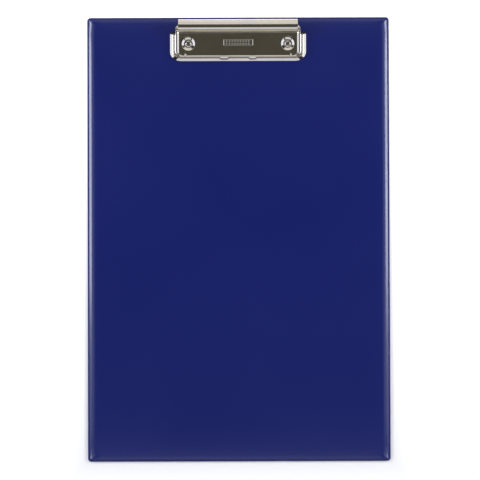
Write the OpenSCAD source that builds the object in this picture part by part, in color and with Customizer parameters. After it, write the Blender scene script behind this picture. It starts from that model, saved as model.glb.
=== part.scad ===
// Clipboard with a sprung lever clip: a greyboard panel welded between two plastic
// foils, and a pressed steel clip riveted across its top edge.
// Lies on its back: X across the board, Y towards the clip, Z out of the front face.
// Millimetres. Origin at the middle of the board's back face.

/* [Board] */
// Width of the whole board across its weld seams
board_w = 230; // [190:1:260]
// Length of the whole board
board_l = 338; // [250:1:370]
// Radius of the board's corners
corner_r = 2.5; // [2.5:0.1:6]
// Thickness of the greyboard inside
core_t = 2.3; // [1.8:0.1:3]
// Thickness of each cover foil
foil_t = 0.35; // [0.2:0.05:0.5]
// Width of the weld seam around the edge
seam_w = 1; // [0.6:0.1:2]

/* [Jaw plate] */
// Width of the flat top of the jaw plate, and of its lever
pan_w = 88.6; // [84:0.2:140]
// Depth of the flat top, from the front ridge to the foot of the lever
pan_depth = 16.4; // [15:0.2:22]
// Height of the flat top's underside above the board's face
pan_h = 5.1; // [4.9:0.1:8]
// Thickness of the clip's pressed sheet steel
sheet_t = 0.8; // [0.6:0.05:1]
// Height of the ridge around the flat top
ridge_h = 0.8; // [0.4:0.1:1.2]
// Width of the ridge around the flat top
ridge_w = 2; // [1.6:0.1:2.4]
// Width of the shelf between the ridge and the wall at each side
side_shelf_w = 2.4; // [2.2:0.1:5]
// Width of the shelf between the ridge and the wall along the front
front_shelf_w = 0.4; // [0.2:0.1:3]
// Width of the sloping skirt at each side
side_skirt_w = 3.1; // [2:0.1:4]
// Width of the sloping skirt along the front
front_skirt_w = 2; // [1.5:0.1:4]
// Height of the skirt's upper edge above the board's face
skirt_h = 1.9; // [1.2:0.1:2.6]
// Radius of the flat top's front corners
pan_corner_r = 2.4; // [1.2:0.1:4]
// Radius of the wall's front corners
wall_r = 3.5; // [2.2:0.1:5]
// Width of the slots that split the skirt at its corners
corner_slot_w = 0.9; // [0.5:0.1:1.5]
// Diameter of the access holes over the rivets
access_d = 11.4; // [9:0.1:14]

/* [Lever] */
// Slope of the lever's front face
lever_angle = 66; // [58:1:74]
// Height of the lever's bend above the flat top
lever_h = 8; // [6:0.1:12]
// Radius of the rolled top of the lever
roll_r = 5.2; // [3:0.1:6]
// Gap between the lever's rolled back and the board's top edge, seen from above
lever_setback = 2.6; // [1:0.1:12]

/* [Hinge] */
// Diameter of the hinge pin
pin_d = 2.5; // [2:0.1:3]
// Running clearance of the pin in its bores, on the radius
pin_fit = 0.05; // [0.03:0.01:0.1]
// Radius of the base plate's ears around the pin
ear_r = 2.5; // [2.2:0.1:2.8]
// Gap between an ear and the jaw's cheek beside it
cheek_gap = 0.3; // [0.2:0.05:0.5]
// Diameter of the pin's peened ends
peen_d = 3.6; // [3.2:0.1:4.2]
// Thickness of the pin's peened ends
peen_t = 0.5; // [0.3:0.05:0.7]

/* [Springs] */
// Diameter of the spring wire
wire_d = 1; // [0.7:0.05:1.1]
// Gap between the pin and the coil around it
coil_gap = 0.2; // [0.15:0.05:0.35]
// Number of whole turns of each coil
coil_turns = 7; // [4:1:9]
// Distance of each coil's inner end from the middle of the clip
coil_x = 8; // [5:0.5:16]

/* [Rivets] */
// Distance from each side of the flat top in to the rivet beside it
rivet_inset = 6.5; // [6.3:0.1:11]
// Distance from the foot of the lever forward to the rivets
rivet_back = 8; // [7.8:0.1:9]
// Bore of the hollow rivets
rivet_bore = 2.6; // [2:0.1:3]
// Outer diameter of the rivet's shank
rivet_d = 3.8; // [3.5:0.1:4.4]
// Diameter of the rivet's rolled heads
rivet_head_d = 5.8; // [5.4:0.1:7]
// Height of the rivet's rolled heads
rivet_head_t = 0.5; // [0.3:0.05:0.6]
// Height of the raised boss under each rivet head
boss_h = 0.8; // [0.4:0.1:1]
// Foot diameter of the raised boss
boss_d = 10.6; // [9:0.1:12]
// Diameter of the washer on the back
washer_d = 9; // [8:0.1:11]
// Thickness of the washer on the back
washer_t = 0.4; // [0.3:0.05:0.5]

/* [Hidden] */
$fn = 48;

navy = "#1b2060";
grey = "#8f8a80";
nickel = "#c9c6bd";
steel = "#a9a9a6";

// ---- heights of the board ----
board_t = core_t + 2 * foil_t;
mid_z = board_t / 2;
rim_r = core_t / 2;                          // rounded shoulder of the covers
bulge_r = max(corner_r - seam_w, rim_r + 0.2);

// ---- jaw plate. The clip is drawn with Y = 0 at the foot of its lever ----
pan_front = -pan_depth;
pan_cz = board_t + pan_h + sheet_t / 2;      // middle of the sheet in the flat top
pan_top = pan_cz + sheet_t / 2;
shelf_z = pan_cz + 0.3 * ridge_h;            // middle of the sheet in the shelf
wall_x = pan_w / 2 + ridge_w + side_shelf_w;
wall_y = pan_front - ridge_w - front_shelf_w;
land = 0.1;                                  // pressed flat where the skirt meets the paper
side_end = -1.7;                             // where the side wall turns in
ridge_end = 0.4;
return_r = 1.6;                              // radius of the side wall's turn, and its angle
return_angle = 50;
corner_split = 38;                           // where the front corner's slot starts
slot_start = 0.75;                           // from the wall line to the rear slot's inner end

// ---- lever ----
roll_start = 102;                            // the rolled top rises a little before it falls
roll_end = -8;
roll_mid_r = roll_r - sheet_t / 2;
bend = [lever_h / tan(lever_angle), pan_cz + lever_h];
roll = bend - roll_mid_r * [cos(roll_start), sin(roll_start)];
lever_top = roll[1] + roll_r;
clip_y = board_l / 2 - lever_setback - roll[0] - roll_r;

// ---- hinge ----
base_z = board_t + sheet_t;                  // top of the base plate
coil_r = pin_d / 2 + coil_gap + wire_d / 2;  // radius of the coil's middle line
hinge_gap = 0.3;                             // from the hinge to the steel under and before it
hinge_r = max(coil_r + wire_d / 2, ear_r) + hinge_gap;
pin_z = base_z + hinge_r;
pin_y = (hinge_r + sheet_t / 2 - (pan_cz - pin_z) * cos(lever_angle)) / sin(lever_angle);
ear_in = pan_w / 2 + 1.3;                    // inner face of each ear, outside the lever
ear_out = ear_in + sheet_t;
cheek_in = ear_out + cheek_gap;
cheek_out = cheek_in + sheet_t;
cheek_r = ear_r;
peen_in = cheek_out + 0.1;                   // inner face of each peened end

// ---- base plate ----
base_front = pan_front + 0.6;                // just behind the jaw's front ridge
base_tail = 6;                               // from the pin to behind the springs' back legs
base_back = pin_y + base_tail;
base_corner_r = 2;
ear_bend = 0.4;                              // inner radius of the bend up to each ear
boss_slope_w = 2;

// ---- rivets ----
rivet_x = pan_w / 2 - rivet_inset;
rivet_y = -rivet_back;
head_z = base_z + boss_h;                    // underside of the front head
sink = washer_t + rivet_head_t;              // depth of the pressed recess in the back
hole_fit = 0.05;                             // clearance of the shank in the board
recess_fit = 0.15;                           // clearance of the washer in its recess
recess_r = washer_d / 2 + recess_fit;
recess_flare = 0.5;

// ======== shared shapes ========

module mirrored() {
    children();
    mirror([1, 0, 0]) children();
}

module on_clip() {
    translate([0, clip_y, 0]) children();
}

// rectangle with round corners, centred
module rounded_rect(w, l, r) {
    square([w - 2 * r, l], center = true);
    square([w, l - 2 * r], center = true);
    for (sx = [-1, 1], sy = [-1, 1])
        translate([sx * (w / 2 - r), sy * (l / 2 - r)]) circle(r);
}

module half_round(r, length) {
    rotate([90, 0, 0]) linear_extrude(length, center = true) intersection() {
        circle(r);
        translate([-r, 0]) square([2 * r, r]);
    }
}

// half of a flat panel, from z = 0 up, with a rounded shoulder around its top edge
module half_panel(w, l, r, h, shoulder) {
    linear_extrude(h - shoulder) rounded_rect(w, l, r);
    linear_extrude(h) rounded_rect(w - 2 * shoulder, l - 2 * shoulder, r - shoulder);
    for (side = [-1, 1]) {
        translate([side * (w / 2 - shoulder), 0, h - shoulder]) half_round(shoulder, l - 2 * r);
        translate([0, side * (l / 2 - shoulder), h - shoulder])
            rotate(90) half_round(shoulder, w - 2 * r);
    }
    for (sx = [-1, 1], sy = [-1, 1])
        translate([sx * (w / 2 - r), sy * (l / 2 - r), h - shoulder])
            rotate_extrude() intersection() {
                translate([r - shoulder, 0]) circle(shoulder);
                square([r, shoulder]);
            }
}

// strip of sheet around a line of points: its outline, with mitred bends
function unit(v) = v / norm(v);
function left_of(v) = [-v[1], v[0]];
function side_point(p, i, d) =
    let (a = i > 0 ? unit(p[i] - p[i - 1]) : unit(p[1] - p[0]),
         b = i < len(p) - 1 ? unit(p[i + 1] - p[i]) : a,
         m = unit(left_of(a) + left_of(b)))
    p[i] + m * d / (m * left_of(a));
function strip(p, t) = concat(
    [for (i = [0 : len(p) - 1]) side_point(p, i, t / 2)],
    [for (i = [len(p) - 1 : -1 : 0]) side_point(p, i, -t / 2)]);

// ======== board ========

module core_shape(grow = 0) {
    for (up = [0, 1])
        translate([0, 0, mid_z]) mirror([0, 0, up])
            half_panel(board_w - 2 * (seam_w + foil_t), board_l - 2 * (seam_w + foil_t),
                       bulge_r - foil_t, core_t / 2, rim_r - foil_t);
}

// pressed recess around a rivet, seen from the back
module recess(extra) {
    translate([0, 0, -0.01])
        cylinder(r1 = recess_r + recess_flare + extra, r2 = recess_r + extra,
                 h = sink + extra + 0.01);
}

module at_rivets() {
    for (side = [-1, 1]) translate([side * rivet_x, rivet_y, 0]) children();
}

module on_board_at_rivets() {
    on_clip() at_rivets() children();
}

module rivet_hole() {
    translate([0, 0, -1]) cylinder(r = rivet_d / 2 + hole_fit, h = board_t + 2);
}

module board_core() {
    color(grey) difference() {
        core_shape();
        on_board_at_rivets() recess(foil_t);
        on_board_at_rivets() rivet_hole();
    }
}

module cover_shape() {
    linear_extrude(foil_t) rounded_rect(board_w, board_l, corner_r);
    half_panel(board_w - 2 * seam_w, board_l - 2 * seam_w, bulge_r, board_t / 2, rim_r);
}

module front_cover() {
    color(navy) difference() {
        translate([0, 0, mid_z]) cover_shape();
        core_shape();
        on_board_at_rivets() rivet_hole();
    }
}

module back_cover() {
    color(navy) difference() {
        union() {
            difference() {
                translate([0, 0, mid_z]) mirror([0, 0, 1]) cover_shape();
                core_shape();
            }
            on_board_at_rivets() intersection() {
                recess(foil_t);
                cylinder(r = washer_d, h = board_t);
            }
        }
        on_board_at_rivets() recess(0);
        on_board_at_rivets() rivet_hole();
    }
}

// ======== base plate ========

// hollow raised boss around a rivet hole
module boss(extra) {
    wide = boss_d / 2;
    rotate_extrude() polygon([
        [0, -extra], [wide, -extra], [wide, 0], [wide - boss_slope_w, boss_h], [0, boss_h]]);
}

// ear bent up from the plate, with the bore for the pin
module ear() {
    outer_r = ear_bend + sheet_t;
    difference() {
        union() {
            translate([ear_in, pin_y, pin_z]) rotate([0, 90, 0]) cylinder(r = ear_r, h = sheet_t);
            translate([ear_in, pin_y - ear_r, board_t + outer_r])
                cube([sheet_t, 2 * ear_r, pin_z - board_t - outer_r]);
            translate([ear_in - ear_bend, pin_y - ear_r, board_t]) intersection() {
                cube([outer_r, 2 * ear_r, outer_r]);
                translate([0, 0, outer_r]) rotate([-90, 0, 0]) difference() {
                    cylinder(r = outer_r, h = 2 * ear_r);
                    translate([0, 0, -1]) cylinder(r = ear_bend, h = 2 * ear_r + 2);
                }
            }
        }
        translate([ear_in - 1, pin_y, pin_z]) rotate([0, 90, 0])
            cylinder(r = pin_d / 2 + pin_fit, h = sheet_t + 2);
    }
}

module base_plate() {
    color(nickel) on_clip() union() {
        difference() {
            union() {
                translate([0, (base_front + base_back) / 2, board_t]) linear_extrude(sheet_t)
                    rounded_rect(2 * (ear_in - ear_bend), base_back - base_front,
                                 base_corner_r);
                at_rivets() translate([0, 0, base_z]) boss(sheet_t / 2);
            }
            at_rivets() translate([0, 0, board_t - 0.001]) boss(1);
            at_rivets() translate([0, 0, board_t])
                cylinder(r = rivet_d / 2 + hole_fit, h = sheet_t + boss_h + 1);
        }
        mirrored() ear();
    }
}

// ======== hinge pin and springs ========

module hinge_pin() {
    color(steel) on_clip() translate([0, pin_y, pin_z]) rotate([0, 90, 0]) {
        cylinder(d = pin_d, h = 2 * peen_in, center = true);
        for (up = [0, 1]) mirror([0, 0, up])
            translate([0, 0, peen_in]) cylinder(d = peen_d, h = peen_t);
    }
}

// The wire of the right-hand spring: a leg along the base plate, the coil around the
// pin, and a leg up the back of the lever. The coil turns from +Z over +Y, seen from -X.
coil_steps = 20;
coil_pitch = wire_d * 1.12;
back_leg = 4.8;
up_leg = 0.7 * lever_h;
leg_reach = hinge_r - coil_r - wire_d / 2 - 0.05; // how far each leg leans out to touch steel
leg_angle = lever_angle + asin(leg_reach / up_leg);
coil_sweep = 360 * coil_turns + 180 - leg_angle;
coil_count = ceil(coil_sweep / 360 * coil_steps);

function coil_point(k) =
    let (a = -90 - coil_sweep * k / coil_count)
    [coil_x + wire_d / 2 + coil_pitch * coil_sweep / 360 * k / coil_count,
     pin_y + coil_r * cos(a), pin_z + coil_r * sin(a)];

function spring_path() =
    let (first = coil_point(0), last = coil_point(coil_count))
    concat([first + [0, back_leg, -leg_reach]],
           [for (k = [0 : coil_count]) coil_point(k)],
           [last + up_leg * [0, cos(leg_angle), sin(leg_angle)]]);

// round bar with flat-sided section along a path, as one closed skin
module wire(path, d, sides) {
    n = len(path);
    function along(i) = unit(path[min(i + 1, n - 1)] - path[max(i - 1, 0)]);
    function across(i) = unit(cross(along(i), [1, 0, 0]));
    function ring(i) = [for (s = [0 : sides - 1])
        path[i] + d / 2 * (cos(360 * s / sides) * across(i)
                           + sin(360 * s / sides) * unit(cross(across(i), along(i))))];
    points = [for (i = [0 : n - 1]) each ring(i)];
    faces = concat(
        [[for (s = [0 : sides - 1]) s]],
        [for (i = [0 : n - 2], s = [0 : sides - 1])
            [i * sides + s, (i + 1) * sides + s,
             (i + 1) * sides + (s + 1) % sides, i * sides + (s + 1) % sides]],
        [[for (s = [sides - 1 : -1 : 0]) (n - 1) * sides + s]]);
    polyhedron(points, faces, convexity = 10);
}

module right_spring() {
    color(steel) on_clip() wire(spring_path(), wire_d, 8);
}

module left_spring() {
    mirror([1, 0, 0]) right_spring();
}

// ======== jaw plate ========

// Sections of the sheet's middle line, as [distance outwards, height]. The ridge is
// measured from the flat top's edge, and the wall with its skirt from the wall line.
ridge_section = [
    [-0.9, pan_cz], [0, pan_cz], [0.45 * ridge_w, pan_cz + ridge_h],
    [0.68 * ridge_w, pan_cz + ridge_h], [ridge_w, shelf_z + 0.1], [ridge_w + 0.3, shelf_z - 0.02]];
function wall_section(skirt_w) =
    let (fold = board_t + skirt_h, slope = atan((skirt_h - sheet_t / 2) / skirt_w))
    [[-0.75, shelf_z - 0.03], [-0.35, shelf_z - 0.08], [-0.02, shelf_z - 0.5], [0.1, fold + 0.9],
     [0.4, fold], [skirt_w - sheet_t / 2 * sin(slope), board_t + sheet_t / 2 * cos(slope) - land]];

// flat shape drawn as [Y, Z], extruded along X
module along_x(width) {
    rotate([90, 0, 90]) linear_extrude(width, center = true) children();
}

// flat shape drawn as [X, Z], extruded along Y
module along_y(from, to) {
    translate([0, to, 0]) rotate([90, 0, 0]) linear_extrude(to - from) children();
}

// slot that splits the skirt, from the wall outwards
module skirt_slot(start, width) {
    translate([start, -width / 2, board_t - 1])
        cube([2 * side_skirt_w, width, skirt_h + sheet_t + 1]);
}

// a section turned about a front corner, by angles counted from the side (+X) to the front
module front_turn(r, from = 0, to = 90) {
    rotate(-to) rotate_extrude(angle = to - from) translate([r, 0]) children();
}

module ridge() {
    section = strip(ridge_section, sheet_t);
    corner = [pan_w / 2 - pan_corner_r, pan_front + pan_corner_r];
    translate([0, pan_front, 0]) mirror([0, 1, 0]) along_x(2 * corner[0]) polygon(section);
    mirrored() {
        translate([pan_w / 2, 0, 0]) along_y(corner[1], ridge_end) polygon(section);
        translate(corner) front_turn(pan_corner_r) polygon(section);
    }
}

module shelf() {
    inset = 0.45;
    lap = 0.1;
    depth = side_end - wall_y - inset;
    deep = depth + wall_r;
    translate([0, wall_y + inset, shelf_z - sheet_t / 2]) linear_extrude(sheet_t) intersection() {
        translate([-wall_x, 0]) square([2 * wall_x, depth]);
        difference() {
            translate([0, deep / 2]) rounded_rect(2 * (wall_x - inset), deep, wall_r - inset);
            translate([0, front_shelf_w + lap - inset + deep])
                rounded_rect(pan_w + 2 * (ridge_w - lap), 2 * deep, pan_corner_r + ridge_w - lap);
        }
    }
}

// wall and skirt along the front and the sides, with a slot through the skirt at each corner
module wall() {
    side = strip(wall_section(side_skirt_w), sheet_t);
    front = strip(wall_section(front_skirt_w), sheet_t);
    turn = [wall_x - wall_r, wall_y + wall_r];
    slot_angle = asin(corner_slot_w / (wall_r + front_skirt_w));
    translate([0, wall_y, 0]) mirror([0, 1, 0]) along_x(2 * turn[0]) polygon(front);
    mirrored() {
        translate([wall_x, 0, 0]) along_y(turn[1], side_end) polygon(side);
        translate(turn) {
            front_turn(wall_r, 0, corner_split) polygon(side);
            front_turn(wall_r, corner_split + slot_angle, 90) polygon(front);
            front_turn(wall_r, corner_split - slot_angle, corner_split + 2 * slot_angle)
                intersection() {
                    polygon(strip(wall_section(side_skirt_w), sheet_t - 0.1));
                    translate([-0.6, board_t + skirt_h + sheet_t / 2]) square(pan_h);
                }
        }
        translate([wall_x - return_r, side_end, 0]) difference() {
            rotate_extrude(angle = return_angle) translate([return_r, 0]) polygon(side);
            rotate(0.4 * return_angle) skirt_slot(return_r + slot_start, 0.6 * corner_slot_w);
        }
    }
}

// bar of sheet between two points
module bar(from, to) {
    translate(from) rotate(atan2(to[1] - from[1], to[0] - from[0]))
        translate([0, -sheet_t / 2]) square([norm(to - from), sheet_t]);
}

module lever_section() {
    foot = [0, pan_cz];
    bar(foot - [1, 0], foot);
    bar(foot, bend);
    for (p = [foot, bend]) translate(p) circle(d = sheet_t);
    translate(roll) {
        intersection() {
            difference() {
                circle(roll_r, $fn = 96);
                circle(roll_r - sheet_t, $fn = 96);
            }
            polygon(concat([[0, 0]], [for (k = [0 : 4])
                let (a = roll_start + (roll_end - roll_start) * k / 4)
                2 * roll_r * [cos(a), sin(a)]]));
        }
        rotate(roll_end) translate([roll_mid_r, 0]) circle(d = sheet_t);
    }
}

// cheek hanging from the shelf, with the bore for the pin
module cheek() {
    reach = 3.4;
    translate([(cheek_in + cheek_out) / 2, 0, 0]) along_x(sheet_t) difference() {
        union() {
            translate([pin_y, pin_z]) circle(cheek_r);
            polygon([[-reach, shelf_z], [1.2 - reach, pin_z - 0.2],
                     [pin_y - 0.3 * cheek_r, pin_z - 0.95 * cheek_r], [pin_y, pin_z],
                     [pin_y + cheek_r, pin_z], [pin_y + cheek_r, shelf_z - 1],
                     [pin_y + 1, shelf_z + 0.6], [side_end, shelf_z + 0.6]]);
        }
        translate([pin_y, pin_z]) circle(pin_d / 2 + pin_fit);
    }
}

// wing that runs up from the cheek and curves in to the end of the lever's bend
module wing() {
    start = (cheek_in + cheek_out) / 2;
    across = start - pan_w / 2 + 0.2;
    run = bend[0] + 1.2;
    turn_r = (run * run + across * across) / (2 * across);
    difference() {
        intersection() {
            translate([start - turn_r, 0, shelf_z]) linear_extrude(lever_top - shelf_z)
                intersection() {
                    difference() {
                        circle(turn_r + sheet_t / 2, $fn = 96);
                        circle(turn_r - sheet_t / 2, $fn = 96);
                    }
                    polygon([[0, 0], [2 * turn_r, 0], [2 * turn_r, run], [across / 2, run]]);
                }
            along_x(2 * cheek_out) polygon([
                [-1, shelf_z], [-1, pan_top + ridge_h - 0.1], [0.6, pan_top + ridge_h + 1.2],
                [bend[0] - 0.2, lever_top - 0.8], [bend[0] + 0.3, lever_top - 0.25],
                [bend[0] + 2, lever_top - 0.15], [bend[0] + 2, lever_top - 3],
                [bend[0], lever_top - 0.68 * lever_h], [pin_y + sheet_t, shelf_z + sheet_t / 2],
                [pin_y, shelf_z]]);
        }
        translate([0, pin_y, pin_z]) rotate([0, 90, 0])
            cylinder(r = ear_r + cheek_gap, h = 2 * cheek_in, center = true);
    }
}

// small stiffening dart between the flat top and the front ridge
module dart() {
    wide_r = 1.5;
    sunk = wide_r / 2;
    run = 2.6;
    translate([rivet_x + 2.3, pan_front - 0.9, pan_top]) intersection() {
        translate([0, 0, -sunk]) rotate([-90, 0, 0]) cylinder(r1 = wide_r, r2 = sunk, h = run);
        translate([-wide_r, 0, -sheet_t / 2]) cube([2 * wide_r, run, wide_r]);
    }
}

module jaw_plate() {
    color(nickel) on_clip() difference() {
        union() {
            translate([0.5 - pan_w / 2, pan_front + 0.5, board_t + pan_h])
                cube([pan_w - 1, pan_depth - 0.5, sheet_t]);
            along_x(pan_w) lever_section();
            ridge();
            shelf();
            wall();
            mirrored() {
                cheek();
                wing();
                dart();
            }
        }
        at_rivets() translate([0, 0, board_t + 2]) cylinder(d = access_d, h = pan_h + 4);
        translate([-board_w / 2, 2 * pan_front, board_t - 2]) cube([board_w, 4 * pan_depth, 2]);
    }
}

// ======== rivets and washers ========

module rivet() {
    round = rivet_head_t / 2;
    flat_w = (rivet_head_d - rivet_bore) / 2 - round;
    rotate_extrude() translate([rivet_bore / 2, 0]) {
        square([(rivet_d - rivet_bore) / 2, head_z + rivet_head_t]);
        for (z = [0, head_z]) translate([0, z]) {
            square([flat_w, rivet_head_t]);
            translate([flat_w, round]) circle(round);
        }
    }
}

module rivet_washer() {
    difference() {
        cylinder(r = washer_d / 2, h = washer_t);
        translate([0, 0, -1]) cylinder(r = rivet_d / 2 + hole_fit, h = washer_t + 2);
    }
}

module right_rivet() { color(nickel) on_clip() translate([rivet_x, rivet_y, 0]) rivet(); }
module left_rivet() { mirror([1, 0, 0]) right_rivet(); }
module right_washer() {
    color(nickel) on_clip() translate([rivet_x, rivet_y, rivet_head_t]) rivet_washer();
}
module left_washer() { mirror([1, 0, 0]) right_washer(); }

board_core();
front_cover();
back_cover();
base_plate();
jaw_plate();
hinge_pin();
left_spring();
right_spring();
left_rivet();
right_rivet();
left_washer();
right_washer();
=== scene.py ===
"""Clipboard with a sprung lever clip, dressed over its fixed frame.

It lies on its back: X across the board, Y towards the clip, Z out of the front face.
Sections are written in millimetres; meshes, properties and the frame are in metres.
"""
import math

import bmesh
import bpy
from bpy.props import FloatProperty, FloatVectorProperty, IntProperty, PointerProperty
from mathutils import Matrix, Vector
from mathutils.geometry import delaunay_2d_cdt


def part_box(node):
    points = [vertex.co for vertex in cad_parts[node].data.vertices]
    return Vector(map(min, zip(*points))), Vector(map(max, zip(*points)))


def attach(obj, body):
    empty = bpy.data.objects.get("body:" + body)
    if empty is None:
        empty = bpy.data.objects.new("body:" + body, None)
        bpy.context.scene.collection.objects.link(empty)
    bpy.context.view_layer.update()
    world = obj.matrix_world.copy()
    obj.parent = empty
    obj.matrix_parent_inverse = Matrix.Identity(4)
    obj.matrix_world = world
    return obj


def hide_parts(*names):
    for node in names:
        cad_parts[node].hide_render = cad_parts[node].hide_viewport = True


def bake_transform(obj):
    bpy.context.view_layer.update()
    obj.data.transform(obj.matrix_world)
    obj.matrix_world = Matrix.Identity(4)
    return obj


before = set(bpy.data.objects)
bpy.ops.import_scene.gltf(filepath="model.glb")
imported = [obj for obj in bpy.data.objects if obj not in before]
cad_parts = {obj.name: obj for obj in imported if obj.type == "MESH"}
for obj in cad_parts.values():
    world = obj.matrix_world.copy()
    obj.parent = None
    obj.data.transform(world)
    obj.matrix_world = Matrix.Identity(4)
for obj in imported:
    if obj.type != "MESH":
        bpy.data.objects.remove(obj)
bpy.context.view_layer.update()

bl_info = {
    "name": "Clipboard with lever clip",
    "version": (1, 0, 0),
    "blender": (4, 5, 0),
    "location": "View3D > Sidebar > Clipboard",
    "description": "Dresses a foil-covered clipboard and its nickel-plated lever clip",
    "category": "Add Mesh",
}

MM = 0.001


def millimetres(node, corner, axis):
    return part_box(node)[corner][axis] / MM


def middle_of(node, axis):
    return (millimetres(node, 0, axis) + millimetres(node, 1, axis)) / 2


# Places taken from the frame, in millimetres
BOARD_HALF_W = millimetres("front_cover", 1, 0)
BOARD_HALF_L = millimetres("front_cover", 1, 1)
BOARD_TOP = millimetres("front_cover", 1, 2)
PIN_Y, PIN_Z = middle_of("hinge_pin", 1), middle_of("hinge_pin", 2)
PIN_END = millimetres("hinge_pin", 1, 0)
RIVET_X, RIVET_Y = middle_of("right_rivet", 0), middle_of("right_rivet", 1)
RIVET_TOP = millimetres("right_rivet", 1, 2)
WASHER_FACE = millimetres("right_washer", 0, 2)
CLIP_Y = RIVET_Y + 8.0            # foot of the lever, where the clip's own Y starts
HINGE = (PIN_Y - CLIP_Y, PIN_Z)   # the pin's axis, seen from there
PIN_HOLE = 1.3     # radius of the holes that the pin goes through
EAR_R = 2.5        # radius of the round ends of the cheeks and ears about the pin
RIVET_BORE = 1.95  # radius of the holes that the rivets go through


# ======== sizes and finishes that a user may change ========

class BoardSizes(bpy.types.PropertyGroup):
    foil: FloatProperty(
        name="Foil", description="Thickness of each cover foil",
        default=0.00035, min=0.0002, max=0.0005, unit="LENGTH")
    seam: FloatProperty(
        name="Weld seam", description="Width of the flat weld seam round the edge",
        default=0.0011, min=0.0006, max=0.0015, unit="LENGTH")
    corner: FloatProperty(
        name="Corner radius", description="Radius of the board's corners",
        default=0.0025, min=0.0015, max=0.004, unit="LENGTH")
    end_fall: FloatProperty(
        name="Fall at the ends", description="How far the face falls away towards its two ends",
        default=0.28, min=0.0, max=0.5, subtype="FACTOR")
    end_reach: FloatProperty(
        name="Reach of the fall", description="How far in from an end the face is still falling",
        default=0.009, min=0.003, max=0.03, unit="LENGTH")


class ClipSizes(bpy.types.PropertyGroup):
    sheet: FloatProperty(
        name="Sheet", description="Thickness of the pressed steel",
        default=0.0008, min=0.0006, max=0.001, unit="LENGTH")
    lever_flare: FloatProperty(
        name="Lever flare", description="How much wider the lever is at its roll, at each end",
        default=0.0005, min=0.0, max=0.0008, unit="LENGTH")
    wire: FloatProperty(
        name="Spring wire", description="Diameter of the spring wire",
        default=0.001, min=0.0007, max=0.0011, unit="LENGTH")
    coil_turns: IntProperty(
        name="Spring turns", description="Whole turns of each coil", default=7, min=4, max=7)
    mark_w: FloatProperty(
        name="Stamped frame width", description="Width of the plain stamped frame",
        default=0.022, min=0.01, max=0.04, unit="LENGTH")
    mark_h: FloatProperty(
        name="Stamped frame height", description="Height of the plain stamped frame",
        default=0.0042, min=0.002, max=0.008, unit="LENGTH")
    mark_ticks: IntProperty(
        name="Ticks in a row", description="Plain ticks in each row of the stamped frame",
        default=9, min=4, max=30)


class Finishes(bpy.types.PropertyGroup):
    foil: FloatVectorProperty(
        name="Foil", description="Colour of the cover foil",
        default=(0.0054, 0.0115, 0.112), size=3, subtype="COLOR", min=0, max=1)
    foil_rough: FloatProperty(
        name="Foil roughness", description="Roughness of the foil's gloss",
        default=0.18, min=0.05, max=0.8, subtype="FACTOR")
    nickel: FloatVectorProperty(
        name="Nickel plate", description="Colour of the plated steel",
        default=(0.66, 0.62, 0.55), size=3, subtype="COLOR", min=0, max=1)
    nickel_rough: FloatProperty(
        name="Nickel roughness", description="Roughness of the plating",
        default=0.07, min=0.02, max=0.6, subtype="FACTOR")
    steel: FloatVectorProperty(
        name="Spring steel", description="Colour of the wire and the pin",
        default=(0.5, 0.49, 0.47), size=3, subtype="COLOR", min=0, max=1)
    greyboard: FloatVectorProperty(
        name="Greyboard", description="Colour of the panel inside",
        default=(0.27, 0.25, 0.21), size=3, subtype="COLOR", min=0, max=1)


# ======== nodes ========

def new_node(tree, kind, inputs, settings):
    """Adds a node: its settings first, then values or links for its sockets."""
    made = tree.nodes.new(kind)
    for name, value in settings.items():
        setattr(made, name, value)
    for key, value in inputs.items():
        if isinstance(value, bpy.types.NodeSocket):
            tree.links.new(value, made.inputs[key])
        else:
            made.inputs[key].default_value = value
    return made


class Wire:
    """One socket of a material's nodes, on which arithmetic adds the Math nodes."""

    def __init__(self, bench, socket):
        self.bench, self.socket = bench, socket

    def __add__(self, other): return self.bench.sum("ADD", self, other)
    def __radd__(self, other): return self.bench.sum("ADD", other, self)
    def __sub__(self, other): return self.bench.sum("SUBTRACT", self, other)
    def __rsub__(self, other): return self.bench.sum("SUBTRACT", other, self)
    def __mul__(self, other): return self.bench.sum("MULTIPLY", self, other)
    def __rmul__(self, other): return self.bench.sum("MULTIPLY", other, self)


class Bench:
    """The node tree of one material or world, cleared and ready."""

    def __init__(self, owner):
        owner.use_nodes = True
        self.tree = owner.node_tree
        self.tree.nodes.clear()

    def node(self, kind, inputs=None, output=0, **settings):
        """Adds a node with these settings and these values or wires for its sockets."""
        inputs = {key: value.socket if isinstance(value, Wire) else value
                  for key, value in (inputs or {}).items()}
        made = new_node(self.tree, kind, inputs, settings)
        return Wire(self, made.outputs[output]) if made.outputs else None

    def sum(self, operation, *values):
        return self.node("ShaderNodeMath", dict(enumerate(values)), operation=operation)

    def place(self, scale=(1.0, 1.0, 1.0)):
        at = self.node("ShaderNodeTexCoord", output="Object")
        return self.node("ShaderNodeMapping", {"Vector": at, "Scale": scale})

    def noise(self, at, scale, detail=2.0, roughness=0.5):
        return self.node("ShaderNodeTexNoise", {
            "Vector": at, "Scale": scale, "Detail": detail, "Roughness": roughness})

    def range(self, value, low, high, to_low=0.0, to_high=1.0):
        return self.node("ShaderNodeMapRange", {
            "Value": value, "From Min": low, "From Max": high, "To Min": to_low,
            "To Max": to_high})

    def mix(self, factor, a, b):
        return self.node("ShaderNodeMix", {0: factor, 6: a, 7: b}, output=2, data_type="RGBA")

    def two_tone(self, pattern, colour, dark, light, low=0.3, high=0.7):
        """A darker and a lighter shade of a colour, mixed where the pattern says."""
        return self.mix(self.range(pattern, low, high), shade(colour, dark), shade(colour, light))

    def bump(self, height, strength, distance, **normal):
        return self.node("ShaderNodeBump", {
            "Height": height, "Strength": strength, "Distance": distance, **normal})


def shade(colour, factor):
    return (*[min(1.0, c * factor) for c in colour], 1.0)


# Each finish gives the inputs of its Principled shader

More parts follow.
